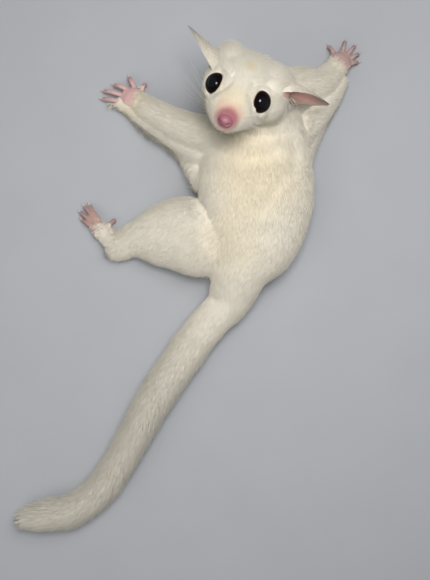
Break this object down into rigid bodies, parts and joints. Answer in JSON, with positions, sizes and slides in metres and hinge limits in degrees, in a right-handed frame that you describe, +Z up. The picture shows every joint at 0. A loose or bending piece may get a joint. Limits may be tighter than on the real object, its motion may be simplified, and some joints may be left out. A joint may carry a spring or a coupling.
{
  "type": "sugar glider",
  "caption": "White-furred sugar glider, life size, lying belly down with limbs spread, long tail trailing and head turned back over its shoulder to look up.",
  "frame": {"origin": "middle of the model's box on the floor that the animal lies on", "axes": "+Z up from the floor, +Y along the body from the tail to the shoulders, +X to the animal's right side"},
  "size_m": [0.1626, 0.2344, 0.0631],
  "materials": {
    "fur": "creamy white short plush fur, matte",
    "pink_skin": "bare pink skin, soft sheen, fine wrinkles",
    "ear_skin": "thin bare grey-pink ear skin, darker at the rim",
    "eye": "wet glossy black"
  },
  "bodies": {
    "root": {"head": "fur", "neck": "fur", "chest": "fur", "loin": "fur", "rump": "fur", "arm_left": "fur", "arm_right": "fur", "forearm_left": "fur", "forearm_right": "fur", "leg_left": "fur", "leg_right": "fur", "shin_left": "fur", "membrane_left": "fur", "membrane_right": "fur", "tail_base": "fur", "tail_upper": "fur", "tail_lower": "fur", "tail_tip": "fur", "hand_left": "pink_skin", "hand_right": "pink_skin", "foot_left": "pink_skin", "foot_right": "pink_skin", "nose": "pink_skin", "ear_left": "ear_skin", "ear_right": "ear_skin", "eye_left": "eye", "eye_right": "eye"}
  },
  "joints": []
}
